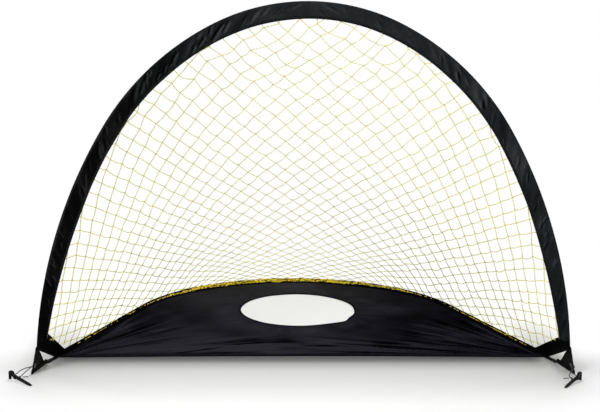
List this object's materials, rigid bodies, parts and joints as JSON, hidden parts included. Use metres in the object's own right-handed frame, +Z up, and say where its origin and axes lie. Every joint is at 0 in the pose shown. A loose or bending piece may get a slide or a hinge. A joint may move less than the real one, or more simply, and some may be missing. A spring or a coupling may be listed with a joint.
{
  "type": "pop-up practice goal net",
  "caption": "Pop-up practice goal: a sprung wire arch in a fabric sleeve over a ground panel with a round target hole, netted behind, with stakes on elastic loops.",
  "frame": {"origin": "on the ground, at the middle of the panel's front hem", "axes": "+X to the right along the goal mouth as the shooter sees it, +Y away from the shooter, +Z up"},
  "size_m": [1.9128, 1.3992, 1.243],
  "materials": {
    "sleeve_black": "coated woven polyester, faint sheen",
    "binding_black": "folded tape",
    "panel_charcoal": "coated woven polyester",
    "net_yellow": "knotted cord",
    "net_gold": "bunched cord",
    "spring_wire": "drawn wire",
    "ferrule_metal": "crimped tube",
    "eyelet_metal": "dark plated",
    "webbing_black": "woven webbing",
    "cord_black": "braided cover over rubber",
    "stake_plastic": "moulded"
  },
  "bodies": {
    "ground_half": {"rear_hoop_wire": "spring_wire", "hoop_ferrule": "ferrule_metal", "rear_sleeve": "sleeve_black", "net_rear_gather": "net_gold", "target_panel": "panel_charcoal", "panel_front_hem": "binding_black", "target_hole_binding": "binding_black", "corner_wire_left": "spring_wire", "corner_wire_right": "spring_wire", "corner_sleeve_left": "sleeve_black", "corner_sleeve_right": "sleeve_black", "net": "net_yellow", "corner_tab_left": "sleeve_black", "corner_tab_right": "sleeve_black", "tab_hem_left": "binding_black", "tab_hem_right": "binding_black", "tab_eyelet_left": "eyelet_metal", "tab_eyelet_right": "eyelet_metal", "ground_strap_left": "webbing_black", "ground_strap_right": "webbing_black"},
    "front_arch": {"front_hoop_wire": "spring_wire", "front_sleeve": "sleeve_black", "front_seam_binding": "binding_black"},
    "left_stake": {"stake_left": "stake_plastic", "elastic_loop_left": "cord_black", "cord_knot_left": "cord_black"},
    "right_stake": {"stake_right": "stake_plastic", "elastic_loop_right": "cord_black", "cord_knot_right": "cord_black"}
  },
  "joints": [
    {"name": "front_arch_fold", "type": "hinge", "parent": "ground_half", "child": "front_arch", "pos_m": [0, -0.193, 0.108], "axis": [-1, 0, 0], "range_deg": [0, 94], "stiffness_Nm_per_rad": 12, "springref_deg": -28.65, "deforming": ["corner_wire_left", "corner_wire_right", "corner_sleeve_left", "corner_sleeve_right", "net"]},
    {"name": "left_stake_swing", "type": "hinge", "parent": "ground_half", "child": "left_stake", "pos_m": [-0.9105, -0.1785, 0.027], "axis": [0, 0, -1], "range_deg": [-60, 40], "deforming": ["elastic_loop_left"]},
    {"name": "right_stake_swing", "type": "hinge", "parent": "ground_half", "child": "right_stake", "pos_m": [0.9105, -0.1785, 0.027], "axis": [0, 0, 1], "range_deg": [-30, 70], "deforming": ["elastic_loop_right"]}
  ]
}
